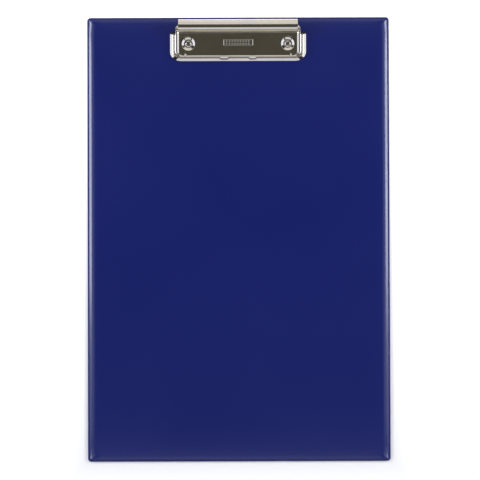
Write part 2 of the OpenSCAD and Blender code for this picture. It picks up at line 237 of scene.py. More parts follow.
def navy_foil(bench, looks):
    at = bench.place()
    cloud, grain = bench.noise(at, 9.0), bench.noise(at, 2600.0, 3.0, 0.6)
    rough = bench.range(cloud, 0.3, 0.7, looks.foil_rough - 0.02, looks.foil_rough + 0.03)
    return {
        "Base Color": bench.two_tone(cloud, looks.foil, 0.97, 1.03),
        "Roughness": rough + grain * 0.04,
        "IOR": 1.5,
        "Normal": bench.bump(bench.noise(at, 26.0, 2.0, 0.4), 0.2, 0.0001,
                             Normal=bench.bump(grain, 0.1, 0.000008)),
    }


def nickel_plate(bench, looks):
    film = bench.noise(bench.place(), 60.0, 3.0)
    hairs = bench.noise(bench.place((60.0, 1500.0, 1500.0)), 1.0)
    rough = bench.range(film, 0.25, 0.75, looks.nickel_rough - 0.02, looks.nickel_rough + 0.03)
    return {
        "Base Color": bench.two_tone(film, looks.nickel, 0.97, 1.04),
        "Metallic": 1.0,
        "Roughness": rough + hairs * 0.03,
        "Normal": bench.bump(hairs, 0.05, 0.00002),
    }


def steel_wire(bench, looks):
    film = bench.noise(bench.place(), 300.0, 3.0)
    drawn = bench.noise(bench.place((900.0, 900.0, 9000.0)), 1.0)
    return {
        "Base Color": bench.two_tone(film, looks.steel, 0.85, 1.1),
        "Metallic": 1.0,
        "Roughness": bench.range(film, 0.25, 0.75, 0.2, 0.34),
        "Normal": bench.bump(drawn, 0.1, 0.00002),
    }


def greyboard(bench, looks):
    fibres = bench.noise(bench.place((300.0, 300.0, 2500.0)), 1.0, 5.0, 0.7)
    flecks = bench.noise(bench.place(), 900.0, 3.0, 0.7)
    return {
        "Base Color": bench.two_tone(fibres, looks.greyboard, 0.8, 1.15, 0.35, 0.65),
        "Roughness": bench.range(flecks, 0.3, 0.7, 0.85, 0.97),
        "Normal": bench.bump(fibres, 0.4, 0.0001),
    }


FINISH_MAKERS = {"navy_foil": navy_foil, "nickel_plate": nickel_plate,
                 "steel_wire": steel_wire, "greyboard": greyboard}


def finish(slot):
    """The finish for this slot of the record; the frame's own flat material is left aside."""
    made = bpy.data.materials.get(slot + "_finish")
    if not made:
        made = bpy.data.materials.new(slot + "_finish")
        bench = Bench(made)
        inputs = FINISH_MAKERS[slot](bench, bpy.context.scene.clip_finishes)
        bench.node("ShaderNodeOutputMaterial", {
            "Surface": bench.node("ShaderNodeBsdfPrincipled", inputs)})
    return made


# ======== mesh helpers, in millimetres ========

def spline(points, per_span=4):
    """Points along a smooth line that is drawn towards its control points and ends on them."""
    p = [points[0]] * 2 + list(points) + [points[-1]] * 2
    made = [points[0]]
    for i in range(len(p) - 3):
        for k in range(1, per_span + 1):
            t = k / per_span
            w = ((1 - t) ** 3 / 6, (3 * t ** 3 - 6 * t ** 2 + 4) / 6,
                 (-3 * t ** 3 + 3 * t ** 2 + 3 * t + 1) / 6, t ** 3 / 6)
            made.append(tuple(sum(w[j] * p[i + j][c] for j in range(4)) for c in range(2)))
    return made


def ease(t):
    t = min(1.0, max(0.0, t))
    return t * t * (3 - 2 * t)


def mixed(a, b, t):
    return a + (b - a) * t


class Skin:
    """Gathers points and faces of one piece, then welds them into a mesh."""

    def __init__(self):
        self.points, self.faces = [], []

    def grid(self, rows, closed=False, capped=False, keep=None):
        """Faces between rows of points; keep(row, column) says which stay."""
        start, wide = len(self.points), len(rows[0])
        self.points += [p for row in rows for p in row]
        for r in range(len(rows) - 1):
            for c in range(wide if closed else wide - 1):
                if keep and not keep(r, c):
                    continue
                d = (c + 1) % wide
                here, after = start + r * wide, start + (r + 1) * wide
                self.faces.append([here + c, here + d, after + d, after + c])
        for ring in (rows[0], rows[-1]) if capped else ():
            start = len(self.points)
            self.points += ring
            self.faces.append(list(range(start, start + wide)))

    def fill(self, outline, holes, inside, height):
        """A face between an outline and its holes, given as (x, y), at height(x, y)."""
        flat, edges = [], []
        for loop in [outline, *holes]:
            start = len(flat)
            flat += [Vector(p[:2]) for p in loop]
            edges += [(start + i, start + (i + 1) % len(loop)) for i in range(len(loop))]
        flat += [Vector(p) for p in inside]
        made, _, faces, *_ = delaunay_2d_cdt(flat, edges, [], 5 if holes else 1, 1e-5)
        start = len(self.points)
        self.points += [(p.x, p.y, height(p.x, p.y)) for p in made]
        for face in faces:
            centre = sum((made[i] for i in face), Vector((0, 0))) / len(face)
            if any(inside_loop(centre, hole) for hole in holes) or not inside_loop(centre, outline):
                continue
            self.faces.append([start + i for i in face])

    def place(self, flat, where):
        """Adds the faces of a flat skin, with its points moved to where(x, y)."""
        start = len(self.points)
        self.points += [where(x, y) for x, y, _ in flat.points]
        self.faces += [[start + i for i in face] for face in flat.faces]

    def mesh(self, name, origin):
        """The welded mesh, in metres, with its faces turned outwards."""
        made = bpy.data.meshes.new(name)
        made.from_pydata([[(a + b) * MM for a, b in zip(p, origin)] for p in self.points], [],
                         self.faces)
        reshape(made, weld(1.5e-6), drop_scraps, turn_out)
        return made


def inside_loop(p, loop):
    odd = False
    for (x1, y1, *_), (x2, y2, *_) in zip(loop, loop[1:] + loop[:1]):
        if (y1 > p[1]) != (y2 > p[1]) and p[0] < (x2 - x1) * (p[1] - y1) / (y2 - y1) + x1:
            odd = not odd
    return odd


def circle(x, y, r, count=48):
    return [(x + r * math.cos(2 * math.pi * i / count), y + r * math.sin(2 * math.pi * i / count))
            for i in range(count)]


def spot(x, y, r, a):
    """The point at this distance from (x, y), at an angle in degrees."""
    return x + r * math.cos(math.radians(a)), y + r * math.sin(math.radians(a))


def arc(x, y, r, angles):
    return [spot(x, y, r, a) for a in angles]


def at_rivets(r, y=RIVET_Y, count=48):
    """A circle of this radius round each rivet's axis."""
    return [circle(s * RIVET_X, y, r, count) for s in (-1, 1)]


def placed(name, mesh):
    """A new object in the scene with this mesh."""
    made = bpy.data.objects.new(name, mesh)
    bpy.context.scene.collection.objects.link(made)
    return made


def dress(made, look, smooth_angle):
    """Gives a piece its finish and its slot, with edges over the angle left sharp."""
    made.data.materials.clear()
    made.data.materials.append(finish(look))
    made.data.shade_smooth()
    if smooth_angle:
        made.data.set_sharp_from_angle(angle=math.radians(smooth_angle))
    return made


def piece(name, skin, look, smooth_angle=None, along=0.0):
    """A new object of the part from this skin, moved this far along the board."""
    return dress(placed(name, skin.mesh(name, (0.0, along, 0.0))), look, smooth_angle)


def settle(made):
    """Turns a piece and its modifiers into one plain mesh."""
    seen = bpy.context.evaluated_depsgraph_get()
    seen.update()
    plain = bpy.data.meshes.new_from_object(made.evaluated_get(seen), depsgraph=seen,
                                            preserve_all_data_layers=True)
    plain.name = made.name
    made.modifiers.clear()
    old, made.data = made.data, plain
    bpy.data.meshes.remove(old)
    return made


def reshape(mesh, *changes):
    """Applies changes, each a function of a mesh's open shape, to a mesh."""
    shape = bmesh.new()
    shape.from_mesh(mesh)
    for change in changes:
        change(shape)
    shape.to_mesh(mesh)
    shape.free()


def weld(dist):
    return lambda shape: bmesh.ops.remove_doubles(shape, verts=shape.verts, dist=dist)


def turn_out(shape):
    bmesh.ops.recalc_face_normals(shape, faces=shape.faces)


def drop_scraps(shape):
    bmesh.ops.dissolve_degenerate(shape, edges=shape.edges, dist=1e-7)
    loose = [v for v in shape.verts if not v.link_faces]
    bmesh.ops.delete(shape, geom=loose, context="VERTS")


def join(made, extra):
    """Adds the second piece's mesh to the first piece and drops the second."""
    reshape(made.data, lambda shape: shape.from_mesh(extra.data))
    bpy.data.objects.remove(extra)


def pressed(made, thickness):
    """Gives a middle surface the sheet's thickness, with crisp cut edges."""
    wall = made.modifiers.new("Sheet", "SOLIDIFY")
    wall.thickness, wall.offset = thickness, 0.0
    wall.use_even_offset, wall.use_quality_normals = True, True
    settle(made)
    made.data.set_sharp_from_angle(angle=math.radians(50))
    weighted = made.modifiers.new("Flat areas", "WEIGHTED_NORMAL")
    weighted.keep_sharp, weighted.weight = True, 60
    return settle(made)


# ======== board ========

LIP = 0.2          # half the height of the welded edge
LIP_ROUND = 0.16   # how much of that is rounded off at the very edge
ROUND_END = 0.2    # how far in from the edge that rounding ends
FACE_RISE = 1.5    # from the weld plane to the flat of the face
INNER_IN = 0.13    # how far in a foil's inner face starts behind its outer one
WELD_END = 1.1     # how far in the foils part
CORE_START = 1.55  # how far in the greyboard starts
SIDE_RISE = spline([(-0.3, LIP), (-0.1, LIP), (0.1, 0.23), (0.4, 0.345), (1.2, 0.7), (2.3, 1.15),
                    (2.85, 1.275), (3.55, 1.37), (4.4, 1.435), (5.6, 1.477), (7.0, 1.495),
                    (8.4, FACE_RISE)], 6)
# rings of points round the board, as distances in from its edge
EDGE_STEPS = [0.0, 0.05, 0.1, 0.2, 0.5, 0.9, 1.1, 1.2, 1.3, 1.4, 1.55, 1.7, 1.9, 2.1, 2.3, 2.5,
              2.7, 2.9, 3.1, 3.4, 3.8, 4.3, 5.0, 5.7, 6.6, 7.6, 8.6, 9.6]
# rows of points inside the face, from both ends: distance in, and points to each side
PANEL_ROWS = [(k, 16) for k in (2, 5, 9, 14, 20)] + [(k, 7) for k in (30, 45, 65, 90, 120, 145)]
PANEL_HALF_W, PANEL_START, RIVET_CLEAR = 104.0, 9.0, 6.5


def side_rise(d, seam):
    """Height of the face above the weld plane, d in from a side edge."""
    d = d - seam
    for (a, low), (b, high) in zip(SIDE_RISE, SIDE_RISE[1:]):
        if d <= b:
            return mixed(low, high, (d - a) / (b - a)) if d > a else low
    return SIDE_RISE[-1][1]


def end_rise(d, seam):
    return LIP + (FACE_RISE - LIP) * (1 - math.exp(-max(0.0, d - seam) / 0.5))


def face_rise(d, across, y, sizes):
    """Height of the face above the weld plane, at d from the edge and y along the board."""
    seam = sizes.seam / MM
    if d <= 0.001:
        return LIP - LIP_ROUND
    if d < ROUND_END:
        return LIP - LIP_ROUND * (1 - math.sin(math.pi / 2 * d / ROUND_END))
    rise = mixed(end_rise(d, seam), side_rise(d, seam), across)
    from_end = BOARD_HALF_L - abs(y)
    fall = sizes.end_fall * math.exp(-max(0.0, from_end - seam) / (sizes.end_reach / MM))
    return LIP + (rise - LIP) * (1 - fall)


def edge_ring(d, corner, along=36):
    """(x, y, how far the edge here faces sideways) around the board, d in from its edge."""
    r = max(corner - d, 0.25)
    hw, hl = BOARD_HALF_W - d - r, BOARD_HALF_L - d - r
    centres = [(hw, hl), (-hw, hl), (-hw, -hl), (hw, -hl)]
    made = []
    for turn, (cx, cy) in enumerate(centres):
        nx, ny = centres[(turn + 1) % 4]
        stops = [(90 * turn + 90 * k / 8, cx, cy) for k in range(9)]
        stops += [(90 * (turn + 1), mixed(cx, nx, k / along), mixed(cy, ny, k / along))
                  for k in range(1, along)]
        made += [(*spot(x, y, r, a), math.cos(math.radians(a)) ** 2) for a, x, y in stops]
    return made


def panel_points():
    """Points inside the face: close rows where the ends fall away, then an open grid."""
    points = [(PANEL_HALF_W / count * i, sign * (BOARD_HALF_L - PANEL_START - k))
              for k, count in PANEL_ROWS for i in range(-count, count + 1) for sign in (-1, 1)]
    return [p for p in points
            if all(math.dist(p, (s * RIVET_X, RIVET_Y)) > RIVET_CLEAR for s in (-1, 1))]


def face_half(skin, sizes, up, inset=0.0, drop=0.0, start=0.0, recess=None):
    """One face of the board's panel, from the weld plane at its edge to the rivet holes; gives
    the height of the face at y, by default well inside the edge."""
    corner = sizes.corner / MM
    middle = BOARD_TOP / 2

    def height(y, d=BOARD_HALF_W, across=0.0):
        return middle + up * max(0.0, face_rise(max(0.0, d - inset), across, y, sizes) - drop)

    steps = [d + inset for d in EDGE_STEPS if d >= start]
    rows = [[(x, y, middle) for x, y, _ in edge_ring(steps[0], corner)]]
    for d in steps:
        rows.append([(x, y, height(y, d, across)) for x, y, across in edge_ring(d, corner)])
    skin.grid(rows, closed=True)
    holes = at_rivets(recess[0][0] if recess else RIVET_BORE)
    skin.fill([p[:2] for p in rows[-1]], holes, panel_points(), lambda x, y: height(y))
    return height


def board_shell(skin, sizes, up, recess_out=None, recess_in=None):
    """A cover foil: its outer face, its inner face and the rims of its rivet holes."""
    outer = face_half(skin, sizes, up, recess=recess_out)
    inner = face_half(skin, sizes, up, INNER_IN, sizes.foil / MM, WELD_END, recess_in)
    skin.grid([[(x, y, BOARD_TOP / 2) for x, y, _ in edge_ring(d, sizes.corner / MM)]
               for d in (0.0, WELD_END + INNER_IN)], closed=True)
    return outer, inner


def collar(skin, rings):
    """A turned surface round each rivet's axis through rings of (radius, height)."""
    for circles in zip(*(at_rivets(r) for r, _ in rings)):
        skin.grid([[(x, y, z(y) if callable(z) else z) for x, y in ring]
                   for ring, (_, z) in zip(circles, rings)], closed=True)


# the round recess in the back for a rivet's tail: (radius, height), the last three its floor
RECESS_OUT = [(5.7, 0.0), (5.35, 0.03), (5.1, 0.12), (4.95, 0.3), (4.8, 0.6), (4.72, 0.8),
              (4.6, 0.88), (4.4, 0.9), (RIVET_BORE, 0.9)]


def at_face(r, face, lift=0.0):
    """A collar's ring of this radius that follows a face, lifted this much."""
    return r, lambda y: face(y) + lift


class CLIPBOARD_OT_board(bpy.types.Operator):
    """Make the greyboard panel and the two cover foils that are welded round it"""
    bl_idname = "clipboard.board"
    bl_label = "Board and cover foils"

    def execute(self, context):
        sizes = context.scene.clip_board
        foil = sizes.foil / MM

        front = Skin()
        outer, inner = board_shell(front, sizes, 1)
        collar(front, [at_face(RIVET_BORE, outer), at_face(RIVET_BORE, inner)])
        made = piece("cover_foil_front", front, "navy_foil", 60)
        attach(made, "board")
        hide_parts("front_cover")

        back = Skin()
        rim_in = [(r + foil * 0.8, z + foil) for r, z in RECESS_OUT[:-1]]
        rim_in.append((RIVET_BORE, 0.9 + foil))
        outer, inner = board_shell(back, sizes, -1, RECESS_OUT, rim_in)
        collar(back, [at_face(r, outer, z) for r, z in RECESS_OUT[:-3]] + RECESS_OUT[-3:])
        collar(back, [at_face(r, inner, z - foil) for r, z in rim_in[:-3]] + rim_in[-3:])
        collar(back, [RECESS_OUT[-1], rim_in[-1]])
        made = piece("cover_foil_back", back, "navy_foil", 60)
        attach(made, "board")
        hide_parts("back_cover")

        core = Skin()
        top = face_half(core, sizes, 1, INNER_IN, foil, CORE_START)
        low = face_half(core, sizes, -1, INNER_IN, foil, CORE_START, rim_in)
        collar(core, [at_face(r, low, z - foil) for r, z in rim_in[:-3]] + rim_in[-3:]
               + [at_face(RIVET_BORE, top)])
        made = piece("greyboard_panel", core, "greyboard", 40)
        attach(made, "board")
        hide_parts("board_core")
        return {"FINISHED"}


# ======== jaw plate and lever, drawn with Y = 0 at the foot of the lever ========

FLAT_HALF_W = 44.6   # edge of the flat top, where the ridge begins
FLAT_FRONT = -16.4   # its front edge
FLAT_REAR = -0.6     # its rear edge, where the lever begins
SHEET_Z = 8.5        # middle of the sheet in the flat top
CORNER_R = 2.4       # radius of the flat top's front corners
SIDE_END = -1.7      # where the side wall turns in
PIVOT = 2.8          # of that turn, from the edge of the flat top
RETURN_TURN = 50     # degrees of that turn
CHEEK_X = 47.1       # middle of the sheet in the cheeks
ACCESS_R = 5.7       # radius of the holes that the rivets are reached through
# the slits in the skirt, behind the side wall and under the front corner: the angle of the row
# along which each is cut, and where in the section it starts
SLIT_REAR, SLIT_FROM_U = 25.5, 5.2
SLIT_CORNER, SLIT_FROM_Z = 46, 5.3
SIDE_SECTION = [(-0.3, 8.5), (0.2, 8.5), (0.5, 8.54), (1.3, 8.84), (1.7, 8.95), (2.2, 8.95),
                (2.65, 8.86), (2.98, 8.76), (3.14, 8.45), (3.3, 8.0), (4.46, 4.8), (4.66, 4.27),
                (4.75, 4.16), (6.9, 3.44), (7.0, 3.407)]
FRONT_SECTION = [(-0.3, 8.5), (1.05, 8.5), (1.28, 8.54), (1.55, 8.68), (1.75, 8.72), (1.88, 8.66),
                 (1.98, 8.45), (2.02, 8.0), (2.05, 7.2), (2.08, 6.2), (2.14, 5.1), (2.35, 4.58),
                 (2.6, 4.38), (4.3, 3.48), (4.4, 3.42)]
PAD_SECTION = [(-0.3, 8.5), (1.0, 8.5), (1.2, 8.53), (1.4, 8.58), (1.6, 8.56), (2.2, 8.34),
               (2.9, 8.0), (3.02, 7.7), (3.04, 7.0), (3.06, 6.1), (3.08, 5.2), (3.12, 4.4),
               (3.3, 3.9), (4.3, 3.49), (4.4, 3.44)]
PADS = [(-10.6, 3.5), (11.05, 3.0)]   # flattened spots on the front ridge: middle, half length
# the lever's section as bends (radius, slope at the end) and straight runs (None, length)
LEVER_BENDS = [(0.52, 89), (None, 4.5), (0.8, 46), (None, 1.6), (3.0, 10), (9.0, -9), (3.5, -80),
               (2.6, -115)]


def rear_end(u):
    """Where the sheet ends towards the lever, u outwards from the edge of the flat top."""
    if u <= 0:
        return FLAT_REAR
    if u < 0.3:
        return mixed(FLAT_REAR, 0.4, ease(u / 0.3))
    return mixed(0.4, SIDE_END, ease((u - 2.0) / (PIVOT - 2.0)))


def pad_share(x):
    return max(ease((half - abs(x - middle)) / 0.9) for middle, half in PADS)


def jaw_rows():
    """Rows of the pressed sheet around the flat top, from the right side to the left, and the
    rows along which it is slit behind the side wall and under the front corner."""
    side, front, pad = spline(SIDE_SECTION), spline(FRONT_SECTION), spline(PAD_SECTION)
    rows, slits = [], {}
    for a in (RETURN_TURN, 41, 32, SLIT_REAR, 23, 16, 11, 6):
        rows.append([(*spot(FLAT_HALF_W + PIVOT, SIDE_END, u - PIVOT, a), z) if u > PIVOT else
                     (FLAT_HALF_W + u, mixed(SIDE_END, rear_end(u), a / RETURN_TURN), z)
                     for u, z in side])
        if a == SLIT_REAR:
            slits["rear"] = len(rows) - 1
    corner_y = FLAT_FRONT + CORNER_R
    for k in range(13):
        y = mixed(SIDE_END, corner_y, k / 12)
        rows.append([(FLAT_HALF_W + u, y, z) for u, z in side])
    for a in (5, 10, 15, 20, 25, 30, 34, 38, 42, SLIT_CORNER, 50.5, 55, 60, 65, 70, 75, 80, 85):
        share = ease(a / 90)
        rows.append([(*spot(FLAT_HALF_W - CORNER_R, corner_y, CORNER_R + mixed(u, v, share), -a),
                      mixed(z, h, share)) for (u, z), (v, h) in zip(side, front)])
        if a == SLIT_CORNER:
            slits["corner"] = len(rows) - 1
    right = list(rows)
    count, reach = 120, FLAT_HALF_W - CORNER_R
    for k in range(count + 1):
        x = mixed(reach, -reach, k / count)
        share = pad_share(x)
        rows.append([(x, FLAT_FRONT - mixed(v, pv, share), mixed(z, pz, share))
                     for (v, z), (pv, pz) in zip(front, pad)])
    rows += [[(-x, y, z) for x, y, z in row] for row in reversed(right)]
    return rows, side, slits


def lever_line():
    """(y, z) along the lever's section, from the flat top up its wall and over the roll."""
    line, slope = [(FLAT_REAR, SHEET_Z), (-0.3, SHEET_Z)], 0.0
    for radius, to in LEVER_BENDS:
        if radius is None:
            steps = [(to / 6, slope)] * 6
        else:
            turn = to - slope
            count = max(4, int(abs(turn) / (4 if radius > 1 else 11)))
            steps = [(radius * math.radians(abs(turn)) / count, slope + turn * (k + 0.5) / count)
                     for k in range(count)]
            slope = to
        for step, angle in steps:
            line.append(spot(*line[-1], step, angle))
    return line


WING_RUN, WING_OVER = 4.76, 0.9   # run of the wing's curve along Y, and how far it runs on
WING_LAP = 0.1                    # how far it laps the lever's side
WING_FOOT, WING_RISE = 9.1, 2.2   # height where the wing starts to curve in, and over what height


def wing_line(sizes):
    """How far in from its cheek the wing curves, at y behind the foot of the lever."""
    across = CHEEK_X - FLAT_HALF_W - sizes.lever_flare / MM + WING_LAP
    radius = (WING_RUN * WING_RUN + across * across) / (2 * across)
    return lambda y: radius - math.sqrt(
        max(0.0, radius * radius - max(0.0, min(y, WING_RUN + WING_OVER)) ** 2))


def cheek_and_wing(skin, sizes, sign):
    """The cheek that holds the pin, and the wing that runs on from it up to the lever."""
    curve = wing_line(sizes)
    py, pz = HINGE
    outline = ([(-3.3, 8.6), (-2.9, 7.6), (-2.1, 6.4), (-0.9, 5.3), (0.3, 4.6)]
               + arc(py, pz, EAR_R, range(-120, 11, 8))
               + [(py + 2.42, 7.6), (py + 1.9, 8.7), (py + 1.3, 9.6), (py + 1.05, 10.4),
                  (py + 1.1, 11.3), (py + 1.6, 12.6), (4.9, 13.6), (5.4, 14.3), (5.5, 15.0),
                  (5.3, 15.6), (4.8, 15.85), (4.0, 15.8), (3.1, 15.4), (2.2, 14.6), (1.4, 13.6),
                  (1.0, 12.4), (0.75, 11.2), (0.4, 10.2), (-0.3, 9.5), (-1.2, 9.2),
                  (-2.2, 9.15)])
    grid = [(-3.4 + 0.25 * i + 0.125 * (j % 2), 4.0 + 0.26 * j)
            for i in range(60) for j in range(50)]
    inside = [p for p in grid if inside_loop(p, outline) and math.dist(p, HINGE) > 1.5
              and min(math.dist(p, q) for q in outline) > 0.15]
    flat = Skin()
    flat.fill(outline, [circle(py, pz, PIN_HOLE, 24)], inside, lambda y, z: 0.0)
    skin.place(flat, lambda y, z: (
        sign * (CHEEK_X - ease((z - WING_FOOT) / WING_RISE) * curve(y)), y, z))


class CLIPBOARD_OT_jaw(bpy.types.Operator):
    """Press the jaw plate: flat top, ridge, skirt, lever, cheeks and wings"""
    bl_idname = "clipboard.jaw"
    bl_label = "Jaw plate and lever"

    def execute(self, context):
        sizes = context.scene.clip_sizes
        rows, side, slits = jaw_rows()
        from_column = {"corner": next(i for i, (_, z) in enumerate(side) if z < SLIT_FROM_Z) - 1,
                       "rear": next(i for i, (u, _) in enumerate(side) if u > SLIT_FROM_U)}
        cut = {(r, c) for kind, row in slits.items() for r in (row, len(rows) - 2 - row)
               for c in range(from_column[kind], len(side))}
        skin = Skin()
        skin.grid(rows, keep=lambda r, c: (r, c) not in cut)

        flare = sizes.lever_flare / MM
        rim, last = FLAT_HALF_W - 0.3, 43.7   # narrow columns of faces at the lever's sides
        columns = [-FLAT_HALF_W, -rim, *[mixed(-last, last, k / 30) for k in range(1, 30)],
                   rim, FLAT_HALF_W]
        skin.grid([[(x * (1 + flare / FLAT_HALF_W * ease((z - SHEET_Z) / 6)), y, z)
                    for x in columns] for y, z in lever_line()])
        outline = [row[0][:2] for row in rows] + [(x, FLAT_REAR) for x in columns[2:-2]]
        holes, rims = [at_rivets(r, RIVET_Y - CLIP_Y, 64) for r in (ACCESS_R, ACCESS_R + 0.45)]
        skin.fill(outline, holes, sum(rims, []), lambda x, y: SHEET_Z)
        for sign in (-1, 1):
            cheek_and_wing(skin, sizes, sign)

        made = piece("jaw_plate_pressed", skin, "nickel_plate", along=CLIP_Y)
        pressed(made, sizes.sheet)
        add_darts(made, sizes.sheet / MM)
        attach(made, "jaw")
        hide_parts("jaw_plate")
        return {"FINISHED"}


# the darts: how far out from the rivet, half width, start and run along Y; depth of the foot and
# of the sides in the sheet, rise at the wide end, and share of it left at the narrow end
DART_OUT, DART_HALF_W, DART_START, DART_RUN = 2.3, 1.4, FLAT_FRONT - 1.45, 2.3
DART_FOOT, DART_SINK, DART_RISE, DART_TIP = 0.12, 0.02, 0.46, 0.08


def add_darts(made, sheet):
    """Adds the small stiffening dart by each front corner of the flat top."""
    skin = Skin()
    top = SHEET_Z + sheet / 2
    for sign in (-1, 1):
        rows = []
        for k in range(13):
            share = 1.0 - (1 - DART_TIP) * k / 12
            section = [(1, -DART_FOOT), (-1, -DART_FOOT)]
            section += [(side, DART_RISE * share * (1 - abs(side) ** 5) - DART_SINK)
                        for side in (j / 5 - 1 for j in range(11))]
            rows.append([(sign * (RIVET_X + DART_OUT) + DART_HALF_W * share * side,
                          DART_START + DART_RUN * k / 12, top + h) for side, h in section])
        skin.grid(rows, closed=True, capped=True)
    join(made, piece("darts", skin, "nickel_plate", 60, CLIP_Y))


# ======== Geometry Nodes helpers ========

class Tree:
    """A Geometry Nodes tree with these named inputs; values and sockets go into its nodes."""

    def __init__(self, name, inputs):
        self.group = bpy.data.node_groups.new(name, "GeometryNodeTree")
        face = self.group.interface
        face.new_socket("Geometry", in_out="INPUT", socket_type="NodeSocketGeometry")
        for label, kind, default in inputs:
            face.new_socket(label, in_out="INPUT", socket_type=kind).default_value = default
        face.new_socket("Geometry", in_out="OUTPUT", socket_type="NodeSocketGeometry")
        self.given = self.group.nodes.new("NodeGroupInput").outputs
        self.output = self.group.nodes.new("NodeGroupOutput")

    def put(self, kind, inputs, **settings):
        """Adds a node and returns its first output."""
        return new_node(self.group, kind, inputs, settings).outputs[0]

    def times(self, a, b):
        return self.put("ShaderNodeMath", {0: a, 1: b}, operation="MULTIPLY")

    def vector(self, x=0.0, y=0.0, z=0.0):
        return self.put("ShaderNodeCombineXYZ", {0: x, 1: y, 2: z})

    def copies(self, count, start, apart, instance):
        """The instance at points that begin at start and lie this vector apart."""
        points = self.put("GeometryNodeMeshLine", {
            "Count": count, "Start Location": start, "Offset": apart})
        return self.put("GeometryNodeInstanceOnPoints", {"Points": points, "Instance": instance})

    def close(self, geometry, look):
        real = self.put("GeometryNodeRealizeInstances", {"Geometry": geometry})
        dressed = self.put("GeometryNodeSetMaterial", {"Geometry": real, "Material": finish(look)})
        self.group.links.new(dressed, self.output.inputs[0])
        return self


def run_tree(name, mesh, tree, values, look, smooth_angle=None):
    """Runs a tree on a mesh and keeps the plain result as a piece."""
    made = placed(name, mesh)
    modifier = made.modifiers.new("Nodes", "NODES")
    modifier.node_group = tree.group
    for item in tree.group.interface.items_tree:
        if item.item_type == "SOCKET" and item.in_out == "INPUT" and item.name in values:
            modifier[item.identifier] = values[item.name]
    settle(made)
    made.data.polygons.foreach_set("material_index", [0] * len(made.data.polygons))
    return dress(made, look, smooth_angle)


# ======== plain stamped frame on the flat top ========

MARK_X, MARK_Y = 0.2, -7.54   # middle of the frame, from the foot of the lever
MARK_SINK = 0.005             # how deep the frame's underside sits in the flat top


def mark_tree():
    """A frame of four rails round two rows of ticks."""
    tree = Tree("stamped_frame", [
        ("Width", "NodeSocketFloat", 0.022), ("Height", "NodeSocketFloat", 0.0042),
        ("Ticks", "NodeSocketInt", 9), ("Line", "NodeSocketFloat", 0.00045)])
    times, vector = tree.times, tree.vector
    width, height, ticks, line = [tree.given[k] for k in ("Width", "Height", "Ticks", "Line")]

    def bar(x, y, across=False):
        """A low bar with a ridge along it, standing on the flat top."""
        body = tree.put("GeometryNodeMeshCylinder", {
            "Vertices": 3, "Radius": 0.57735, "Depth": 1.0})
        turn = (-math.pi / 2, -math.pi / 2, math.pi / 2 if across else 0.0)
        laid = tree.put("GeometryNodeTransform", {"Geometry": body, "Rotation": turn})
        return tree.put("GeometryNodeTransform", {
            "Geometry": laid, "Scale": vector(x, y, times(y if across else x, 0.2))})

    def row(y):
        """Ticks along X, across the frame's width at this share of its height."""
        step = tree.put("ShaderNodeMath", {0: times(width, 0.86), 1: ticks}, operation="DIVIDE")
        return tree.copies(ticks, vector(times(width, -0.4), times(height, y)), vector(step),
                           bar(times(line, 1.3), times(height, 0.24)))

    def rails(across):
        """Two rails of the frame, along X or along Y."""
        size = (width, times(line, 0.6)) if across else (times(line, 1.4), height)
        reach = vector(y=height) if across else vector(width)
        back = tree.put("ShaderNodeVectorMath", {0: reach, "Scale": -0.5}, operation="SCALE")
        return tree.copies(2, back, reach, bar(*size, across))

    joined = tree.group.nodes.new("GeometryNodeJoinGeometry")
    for made in (row(0.23), row(-0.23), rails(True), rails(False)):
        tree.group.links.new(made, joined.inputs[0])
    sheet = bpy.context.scene.clip_sizes.sheet / MM
    at = (MARK_X * MM, (CLIP_Y + MARK_Y) * MM, (SHEET_Z + sheet / 2 - MARK_SINK) * MM)
    return tree.close(tree.put("GeometryNodeTransform", {
        "Geometry": joined.outputs[0], "Translation": at}), "nickel_plate")


class CLIPBOARD_OT_mark(bpy.types.Operator):
    """Raise a plain frame with two rows of plain ticks on the flat top"""
    bl_idname = "clipboard.mark"
    bl_label = "Stamped frame"

    def execute(self, context):
        sizes = context.scene.clip_sizes
        values = {"Width": sizes.mark_w, "Height": sizes.mark_h, "Ticks": sizes.mark_ticks}
        made = run_tree("stamped_frame", bpy.data.meshes.new("stamped_frame"), mark_tree(),
                        values, "nickel_plate", 30)
        made.data.shade_flat()
        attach(made, "jaw")
        return {"FINISHED"}


# ======== base plate ========

# the boss round each rivet, as (radius, height), with its foot in the flat of the plate
BOSS_FOOT = 3.4
BOSS_LINE = spline([(RIVET_BORE, 4.2), (2.4, 4.2), (3.2, 4.2), (3.45, 4.22), (3.7, 4.3),
                    (5.0, 4.76), (5.25, 4.82), (5.6, 4.74), (6.1, 4.3), (6.45, 3.9), (6.75, 3.6),
                    (7.0, 3.45), (7.2, BOSS_FOOT)], 3)


